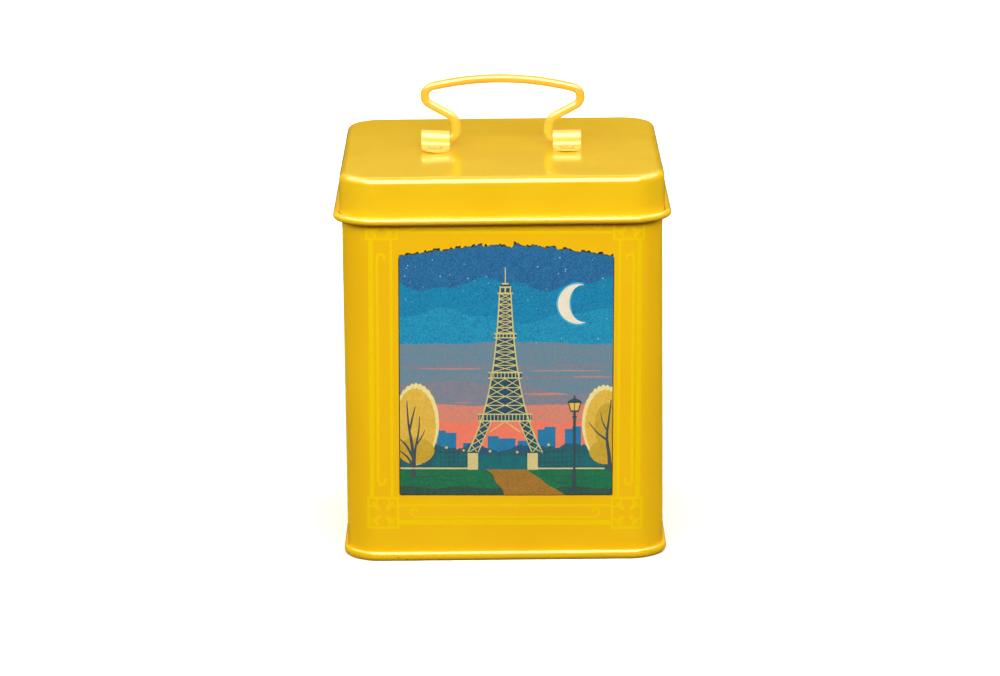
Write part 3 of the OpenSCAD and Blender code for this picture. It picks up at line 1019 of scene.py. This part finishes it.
roofs = [
    (-23.5, -20.4, 23.0), (-20.4, -16.8, 22.2), (-14.5, -11.5, 18.6), (-6.0, -2.2, 21.0), (-2.2, 3.6, 20.2),
    (4.4, 8.4, 19.4), (11.2, 13.6, 23.4), (13.6, 17.4, 24.3), (20.6, 23.2, 23.6), (23.2, 26.2, 24.5),
]
printed("print_town", [block(u0, u1, 12, v) for u0, u1, v in roofs], town, 10)
far_wave = np.cos(sky_u / 11.5)
hill_top = 15.6 + 2.2 * np.sin(sky_u / 5.1 + 0.4) ** 2 + 1.9 * np.abs(far_wave) * (np.abs(sky_u) > 8)
printed("print_hills", [band(8, hill_top + steps_of(sky_u, 1.1, 0.25, 51))], hills, 11)
hedge_top = np.where(np.abs(sky_u) < 9.5, 14.4, 17.4) + 0.9 * np.sin(sky_u / 6.0 + 1.0)
hedge_top += steps_of(sky_u, 0.7, 0.3, 53) + 1.3 * smooth(sky_u, 12, 30)
printed("print_hedge", [band(6, hedge_top, 5)], hedge, 12)
printed("print_hedge_light", [
    bush(-9.2, 7.8, 40, 8, 13.9, 0.0, 0.3, 0.8, 55),
    bush(12, 34, 60, 10.3, 14.2, 1.6, 0.3, 0.7, 56),
    bush(-24, -13.2, 40, 10.3, 14.4, 0.0, 0.35, 0.7, 57),
], hedge_light, 13)

# %% Lawns and path
lawn = screened_ink("lawn_green_ink", "#1F6D48", "#2B7A52", "#1C6242", 0.55)
lawn_dark = screened_ink("shaded_lawn_ink", "#3A574A", "#2F4A44", "#31604C", 0.7)
ochre = screened_ink("ochre_path_ink", "#A67631", "#8F672F", "#B38435", 0.6)
PATH_TOP = 9.1
path_v = np.linspace(0, PATH_TOP, 30)
path_left = -8.0 + 7.4 * (1 - path_v / PATH_TOP) ** 0.55 + 0.5 * np.sin(path_v)
path_right = 8.0 + 12.6 * (1 - path_v / PATH_TOP) ** 1.15 + 0.3 * np.sin(path_v * 1.3)
printed("print_lawn", [band(0, 9.0 + 0.25 * np.sin(sky_u / 4) + steps_of(sky_u, 0.6, 0.12, 61))], lawn, 14)
shade = [band(0, 2.7 + 0.5 * np.sin(sky_u / 3.1) + steps_of(sky_u, 0.5, 0.25, 63), 3)]
for k in range(22):
    u0 = rng.uniform(LEFT, RIGHT - 9)
    shade.append(streak(u0, u0 + rng.uniform(3, 9), rng.uniform(2.6, 7.4), rng.uniform(0.06, 0.16), 70 + k))
printed("print_lawn_shade", shade, lawn_dark, 15)
printed("print_path", [picture(across(path_v, path_left, path_right, 6))], ochre, 16)

# %% [markdown]
# The mast is a plain lattice tower such as a lookout or a radio mast has: legs
# that lean in, three decks, crossed braces between them, and a small cabin with
# a spike. Its half-width falls from 13 mm at the ground to 1.9 mm under the
# cabin, fast at first and slowly higher up. The dark steel is drawn first, and
# the lit edges are thin strokes over it.

# %% Lattice mast
steel = screened_ink("mast_steel_ink", "#2B4C60", "#35586A", "#264355", 0.5)
lit = screened_ink("mast_cream_ink", "#D3C77F", "#C2B66E", "#DDD18C", 0.35)
MAST_FOOT, MAST_TOP = 15.0, 71.5


def mast_half(v):
    """Half-width of the mast at a height: 0.9 plus 12.1 that decays by 1/e every 23 mm."""
    return 0.9 + 12.1 * np.exp(-(np.asarray(v, float) - MAST_FOOT) / 23.0)


def line(u0, v0, u1, v1, width=0.34):
    """One straight stroke of the drawing."""
    return picture(stroke([(u0, v0), (u1, v1)], width))


LEG_WIDE, LEG_TOP = 3.6, 26.4
leg_v = np.linspace(27.5, MAST_TOP, 20)
dark_parts = [picture(across(leg_v, -mast_half(leg_v), mast_half(leg_v), 3))]
lit_parts = []
low_v = np.linspace(MAST_FOOT, 28.0, 8)
for s in (-1, 1):
    leg_sides = np.sort([s * mast_half(low_v), s * (mast_half(low_v) - LEG_WIDE)], axis=0)
    dark_parts.append(picture(across(low_v, *leg_sides)))
for v, grow, thick in ((27.6, 1.3, 2.4), (42.6, 1.1, 1.9), (56.6, 0.8, 1.4)):
    reach, under, over = mast_half(v) + grow, v - thick / 2, v + thick / 2
    dark_parts.append(block(-reach, reach, under, over))
    lit_parts += [line(-reach - 0.2, rail_v, reach + 0.2, rail_v, 0.4) for rail_v in (under, over)]
    lit_parts += [line(u, under, u, over, 0.26) for u in np.arange(-reach + 0.5, reach, 1.25)]
between_decks = (np.linspace(28.8, 41.4, 5), np.linspace(43.8, 55.6, 6), np.linspace(57.6, MAST_TOP, 8))
for v0, v1 in [bay for run in between_decks for bay in zip(run[:-1], run[1:])]:
    h0, h1 = mast_half(v0), mast_half(v1)
    lit_parts.append(line(-h0, v0, h0, v0, 0.3))
    splits = 2 if h0 > 4.5 else 1
    for k in range(splits):
        start, stop = 2 * k / splits - 1, 2 * (k + 1) / splits - 1
        lit_parts += [line(start * h0, v0, stop * h1, v1, 0.26), line(stop * h0, v0, start * h1, v1, 0.26)]
rail_v = np.linspace(MAST_FOOT, MAST_TOP, 24)
low = np.linspace(MAST_FOOT, LEG_TOP, 5)
for s in (-1, 1):
    outer, inner = s * mast_half(low), s * (mast_half(low) - LEG_WIDE)
    lit_parts.append(picture(stroke(np.stack([s * mast_half(rail_v), rail_v], -1), 0.44)))
    lit_parts.append(line(inner[0], MAST_FOOT, inner[-1], LEG_TOP, 0.36))
    for k in range(4):
        lit_parts.append(line(outer[k], low[k], inner[k + 1], low[k + 1], 0.28))
        lit_parts.append(line(inner[k], low[k], outer[k + 1], low[k + 1], 0.28))
for s in (-1, 1):
    lit_parts += [line(0, 26.3, s * 5.3, 22.4, 0.34), line(0, 26.3, s * 2.9, 26.3, 0.3)]
dark_parts += [block(-2.3, 2.3, 71.5, 73.6), block(-1.5, 1.5, 73.6, 74.8)]
lit_parts += [block(-2.6, 2.6, 71.2, 71.8), block(-2.0, 2.0, 73.4, 73.9), block(-1.2, 1.2, 74.6, 75.1)]
lit_parts.append(line(0, 75.0, 0, 80.6, 0.34))
lit_parts += [block(u0, u1, 71.8, 73.4) for u0, u1 in ((-2.0, -1.5), (1.5, 2.0), (-0.25, 0.25))]
printed("print_mast_steel", dark_parts, steel, 11)
printed("print_mast_lit", lit_parts, lit, 13)
print("mast", len(lit_parts), "strokes")

# %% [markdown]
# The trees are two rounded crowns cut by the picture's sides. Each has a pale
# scalloped rim, a golden body and a darker fold, then a trunk and branches that
# taper as they rise.

# %% Trees
rim_ink = screened_ink("pale_straw_ink", "#EBDD94", "#E0CF82", "#F0E4A4", 0.4)
gold = screened_ink("golden_leaf_ink", "#E2B74A", "#D2A83C", "#E8C056", 0.5)
gold_dark = screened_ink("old_gold_leaf_ink", "#C9A436", "#BB952E", "#CFAE44", 0.5)
bark = screened_ink("slate_bark_ink", "#475256", "#3B464B", "#505C5E", 0.4)


def crown(cu, cv, a, b, u0, u1, scallop=0.0):
    """Crown of a tree between u0 and u1: cv plus and minus b * sqrt(1 - ((u - cu)/a)^2), its outline
    waved by small scallops and its foot drawn in towards the trunk."""
    u = np.linspace(max(u0, cu - a), min(u1, cu + a), 60)
    w = np.clip(1 - ((u - cu) / a) ** 2, 0, 1)
    lumps = scallop * np.abs(np.sin(u * 2.1 + cv)) * np.sqrt(w)
    return picture(between(u, cv - b * w ** 0.62 - 0.3 * lumps, cv + b * np.sqrt(w) + lumps, 5))


printed("print_tree_rims", [
    crown(-30.6, 25.0, 7.9, 14.2, LEFT, 0, 0.7),
    crown(34.2, 25.0, 7.8, 13.6, 0, RIGHT, 0.7),
], rim_ink, 14)
printed("print_tree_crowns", [
    crown(-30.9, 24.4, 7.1, 13.3, LEFT, 0, 0.4),
    crown(34.6, 24.4, 7.1, 12.8, 0, RIGHT, 0.4),
], gold, 15)
printed("print_tree_folds", [
    crown(-30.8, 15.6, 6.5, 4.6, LEFT, 0, 0.5),
    crown(35.0, 24.2, 4.2, 8.2, 0, RIGHT, 0.4),
    crown(34.6, 15.2, 5.6, 4.2, 0, RIGHT, 0.4),
], gold_dark, 16)


def branch(points, thick, thin):
    """Tapered stroke through a few points."""
    return picture(stroke(curve_through(points, 20), np.linspace(thick, thin, 20)))


printed("print_branches", [
    branch([(-31.6, 6.2), (-31.5, 12.0), (-32.2, 18.5), (-33.3, 25.5), (-33.8, 33.5)], 1.7, 0.3),
    branch([(-31.4, 11.0), (-30.9, 16.5), (-29.8, 22.5), (-29.4, 28.0)], 1.0, 0.25),
    branch([(-32.9, 23.0), (-31.8, 28.0), (-30.9, 31.5)], 0.8, 0.25),
    branch([(-31.8, 13.5), (-34.0, 17.5), (-36.1, 19.8)], 1.0, 0.4),
    branch([(-31.5, 9.8), (-33.6, 13.4), (-36.1, 15.6)], 0.9, 0.4),
    branch([(-30.5, 18.0), (-28.8, 20.6), (-27.6, 23.2)], 0.6, 0.2),
    branch([(36.3, 8.6), (35.9, 14.0), (35.1, 20.5), (35.7, 27.0), (36.5, 34.0)], 1.5, 0.35),
    branch([(35.2, 19.6), (32.0, 22.0), (28.8, 26.0)], 0.8, 0.2),
    branch([(35.3, 22.8), (33.6, 26.0), (32.9, 29.4)], 0.6, 0.2),
], bark, 17)

# %% Street lamp, gate posts and railings
iron = screened_ink("lamp_iron_ink", "#3A4E51", "#31444A", "#42585A", 0.35)
glow = screened_ink("lamp_glow_ink", "#E5BD55", "#D9AE48", "#F0CC6A", 0.35)
stone = screened_ink("cream_stone_ink", "#D5C487", "#C8B678", "#DFD096", 0.4)
LAMP = 23.9
printed("print_gate_posts", [
    block(-12.9, -9.3, 9.0, 15.1),
    block(7.7, 11.3, 9.0, 15.1),
    block(LEFT + 0.1, -12.9, 9.2, 9.75),
    block(11.3, RIGHT - 2.5, 9.2, 9.7),
], stone, 17)


def about_lamp(v, half):
    """Patch about the lamp's middle, of a half-width at each height."""
    return picture(across(np.array(v), LAMP - np.array(half), LAMP + np.array(half)))


def far_light(u, v):
    """Small round light among the hedges."""
    path = curve_through([(u - 0.45, v), (u, v + 0.02), (u + 0.45, v)], 5)
    return picture(stroke(path, [0.3, 0.75, 0.9, 0.75, 0.3]))


far_lights = ((-20.2, 16.9), (-5.2, 15.6), (4.2, 15.3), (15.0, 17.9), (-14.4, 15.9))
lamp_pane = about_lamp([30.0, 32.9], [1.2, 1.95])
printed("print_lamp_glow", [lamp_pane] + [far_light(u, v) for u, v in far_lights], glow, 18)
frets = [line(LAMP, 2.0, LAMP, 30.2, 0.85)]
for half, v0, v1 in ((1.0, 1.2, 3.0), (0.75, 3.0, 8.6), (0.75, 27.6, 28.1)):
    frets.append(block(LAMP - half, LAMP + half, v0, v1))
frets += [line(LAMP + s * 1.3, 30.0, LAMP + s * 2.1, 32.9, 0.34) for s in (-1, 1)]
frets += [line(LAMP, 30.0, LAMP, 32.9, 0.26), block(LAMP - 1.4, LAMP + 1.4, 29.7, 30.2)]
frets += [about_lamp([32.8, 33.5, 34.4], [2.5, 2.2, 0.5]), block(LAMP - 0.28, LAMP + 0.28, 34.3, 35.4)]
for v in (11.6, 13.4, 15.2):
    frets += [line(-22.6, v, -13.0, v + 0.1, 0.2), line(11.4, v, 22.6, v + 0.2, 0.2)]
    frets.append(line(25.2, v + 0.2, 27.5, v + 0.3, 0.2))
for u in (*np.arange(-22.2, -13.0, 1.5), *np.arange(12.2, 27.5, 1.5)):
    frets.append(line(u, 10.0, u + 0.05, 16.4, 0.2))
frets.append(picture(stroke(np.stack([path_left, path_v], -1)[::-1], 0.26)))
frets += [block(-13.0, -9.2, 15.0, 15.4), block(7.6, 11.4, 15.0, 15.4)]
printed("print_iron", frets, iron, 19)

# %% [markdown]
# Round the picture, and on every side, runs a border in a lemon ink only a
# shade from the enamel: a broad line, a line that curls at its ends, a fine
# line, and a square tile with leaves at each corner. It is drawn once for one
# side and laid on all four. At the back the level lines stop short of the lock
# seam, which is left unprinted so that the joint can be soldered or glued.

# %% Lemon border
lemon = screened_ink("lemon_border_ink", "#F4CC02", "#EFC604", "#F6D108", 0.5, 0.15)
TILE_IN, TILE_OUT, TILE_LOW, TILE_HIGH = 36.6, 47.8, 11.0, 22.6


def bar(u0, u1, v0, v1, columns=14):
    """Straight border line, with enough columns to follow the corner's curve and rows to follow the
    bow."""
    if abs(v1 - v0) > abs(u1 - u0):
        return across(np.linspace(v0, v1, 30), u0, u1, 3)
    return between(np.linspace(u0, u1, columns), v0, v1)


def scroll(points, width):
    """Smooth stroke through a few points, as the lines that curl at their ends."""
    return stroke(curve_through(points, 60), width)


FRAME_WIDE = 0.9


def tile(mid_u, mid_v):
    """Square frame 0.9 mm wide, and four leaves that point to its corners."""
    u0, u1 = mid_u - (TILE_OUT - TILE_IN) / 2, mid_u + (TILE_OUT - TILE_IN) / 2
    v0, v1 = mid_v - (TILE_HIGH - TILE_LOW) / 2, mid_v + (TILE_HIGH - TILE_LOW) / 2
    parts = [bar(u0, u0 + FRAME_WIDE, v0, v1), bar(u1 - FRAME_WIDE, u1, v0, v1)]
    for low in (v0, v1 - FRAME_WIDE):
        parts.append(bar(u0 + FRAME_WIDE, u1 - FRAME_WIDE, low, low + FRAME_WIDE))
    t = np.linspace(0, 1, 9)[:, None]
    rib, vein = 0.25 + 1.35 * np.sin(np.pi * t[:, 0] ** 0.8), 0.2 + 0.7 * np.sin(np.pi * t[:, 0])
    for su, sv in ((-1, -1), (-1, 1), (1, -1), (1, 1)):
        tip = np.array([mid_u + su * 3.7, mid_v + sv * 4.0])
        root = np.array([mid_u + su * 0.9, mid_v + sv * 0.9])
        parts.append(stroke(root + (tip - root) * t, rib))
        for bend in (-1.05, 1.05):
            off = np.array([bend * su, -bend * sv])
            parts.append(stroke(root * 0.35 + tip * 0.65 + off * (0.35 + t) + (tip - root) * 0.22 * t, vein))
    return parts


UPRIGHT_LOW, UPRIGHT_HIGH, MIDDLE = 22.6, 113.3, 3.4
SIDE_SCROLL = [
    (41.4, 29.2), (41.4, 27.9), (42.5, 27.0), (43.75, 28.4), (43.75, 40), (43.75, 68),
    (43.75, 95), (43.75, 107.0), (42.5, 108.5), (41.4, 107.7), (41.4, 106.4),
]
LEVEL_SCROLL = [
    (30.3, 1.7), (30.6, 2.7), (31.8, 3.0), (32.7, 1.7), (31.7, 0.2), (30.4, 0), (24, 0), (12, 0), (MIDDLE, 0),
]


def border_patches():
    """One side of the border: uprights and tiles mirrored left to right, and level lines above and
    below."""
    parts = []
    for s in (-1, 1):
        for near, far in ((45.1, 46.8), (38.6, 39.5)):
            parts.append(bar(*sorted((s * near, s * far)), UPRIGHT_LOW, UPRIGHT_HIGH))
        parts.append(scroll([(s * u, v) for u, v in SIDE_SCROLL], 0.9))
        parts += tile(s * 42.2, 16.8) + tile(s * 42.2, 119.1)
    for low, high in ((12.5, 14.2), (19.1, 20.0), (115.7, 116.6), (121.4, 123.1)):
        for u0, u1, columns in ((-TILE_IN, -MIDDLE, 18), (-MIDDLE, MIDDLE, 4), (MIDDLE, TILE_IN, 18)):
            parts.append(bar(u0, u1, low, high, columns))
    for v, rise in ((15.35, 1), (120.45, -1)):
        for s in (-1, 1):
            parts.append(scroll([(s * u, v + rise * up) for u, up in LEVEL_SCROLL], 0.7))
        parts.append(bar(-MIDDLE, MIDDLE, v - 0.35, v + 0.35, 4))
    return parts


for face, where in enumerate(("front", "right", "back", "left")):
    patches = border_patches()
    if face == 2:
        patches = [p for p in patches if np.abs(p[..., 0]).max() > MIDDLE + 0.1]
    printed("border_" + where, patches, lemon, 0.8, face)

# %% [markdown]
# The tin stands on plain pale paper, which neither shows in the gloss nor
# bounces light, so the enamel keeps its own colour. The light is a studio one:
# a wide softbox high in front, a weak one above, and low fills at the sides
# and the back. Four panels that only the gloss sees give the long highlights on
# the shoulder, the rim and the bead. A fifth, low behind, is mirrored in the
# near half of the lid and leaves its far half darker. A dim warm surround
# keeps the upright corners darker than the front, which gives them their form.

# %% Floor
def paper():
    """Matte paper: off-white with a faint 3 mm mottle."""
    material, tree, place = new_finish("matte_studio_paper")
    mottle = spread(tree, noise(tree, place, 3, 3), 0.3, 0.7)
    tone = blend_colour(tree, mottle, rgb("#FFFFFF"), rgb("#FAFAF9"))
    normal = bumps(tree, [(noise(tree, place, 1.5, 2), 0.02)])
    finish_with(tree, {"Base Color": tone, "Roughness": 0.9, "IOR": 1.3, "Normal": normal})
    return material


edge = np.linspace(-6, 6, 13)
floor_points = np.stack([*np.meshgrid(edge, edge, indexing="ij"), np.zeros((13, 13))], -1).reshape(-1, 3)
floor_mesh = bpy.data.meshes.new("studio_floor")
floor_mesh.from_pydata(floor_points.tolist(), [], grid_faces(13, 13)[:, ::-1].tolist())
floor_mesh.materials.append(paper())
floor = bpy.data.objects.new("studio_floor", floor_mesh)
bpy.context.scene.collection.objects.link(floor)
floor.visible_glossy = False
floor.visible_diffuse = False
print("floor", floor_mesh.polygons[0].normal[:])


# %% Studio light
def softbox(name, at, towards, width, height, watts, seen_by, spread_angle=180, tint="#FFFFFF"):
    """Rectangular area light at a point in metres, facing another point. It either lights surfaces or
    is seen in their gloss, so that each can be set by itself, as flags and screens do in a studio."""
    light = bpy.data.lights.new(name, "AREA")
    light.shape = "RECTANGLE"
    light.size, light.size_y = width, height
    light.energy = watts
    light.color = rgb(tint)[:3]
    light.spread = np.radians(spread_angle)
    lamp = bpy.data.objects.new(name, light)
    lamp.location = at
    lamp.rotation_euler = (Vector(towards) - Vector(at)).to_track_quat("-Z", "Y").to_euler()
    lamp.visible_camera = False
    lamp.visible_diffuse = seen_by == "diffuse"
    lamp.visible_glossy = seen_by == "glossy"
    bpy.context.scene.collection.objects.link(lamp)


softbox("front_softbox", (0.0, -1.9, 1.6), (0, 0, 0.1), 3.6, 1.2, 80, "diffuse")
softbox("top_softbox", (0.0, 0.4, 2.4), (0, 0.4, 0), 3.0, 3.0, 10, "diffuse")
softbox("right_fill", (1.8, -0.8, 0.9), (0, 0, 0.08), 1.0, 1.2, 9, "diffuse")
softbox("left_fill", (-1.8, -0.8, 0.9), (0, 0, 0.08), 1.0, 1.2, 11, "diffuse")
softbox("back_fill", (0.4, 2.1, 0.7), (0, 0, 0.08), 1.6, 1.0, 19, "diffuse")
for name, x in (("right_rear_fill", 1.6), ("left_rear_fill", -1.6)):
    softbox(name, (x, 1.3, 0.4), (0, 0, 0.08), 1.0, 0.7, 25, "diffuse")
softbox("floor_softbox", (0.0, 1.5, 1.7), (0, 1.5, 0), 2.6, 1.6, 20, "diffuse", 75)
for name, turn, watts in (("front", 0, 250), ("right", 1, 60), ("back", 2, 14), ("left", 3, 60)):
    x, y = quarter_turns(np.array([0.0, -1.25]), turn)
    softbox(name + "_shine", (x, y, 1.55), (0, 0, 0.1), 2.4, 2.2 if turn == 0 else 1.4, watts, "glossy")

softbox("low_back_shine", (0, 1.25, 0.676), (0, 0, 0.676), 2.6, 0.6, 1.5, "glossy", tint="#FFF08C")

world = bpy.data.worlds.new("dim_surround")
bpy.context.scene.world = world
world.use_nodes = True
world.node_tree.nodes.clear()
surround = add(world.node_tree, "ShaderNodeBackground", {"Color": rgb("#F2DCBC"), "Strength": 0.09})
add(world.node_tree, "ShaderNodeOutputWorld", {"Surface": surround.outputs[0]})
bpy.context.scene.view_settings.view_transform = "Standard"
print("lights", [lamp.name for lamp in bpy.data.lights])
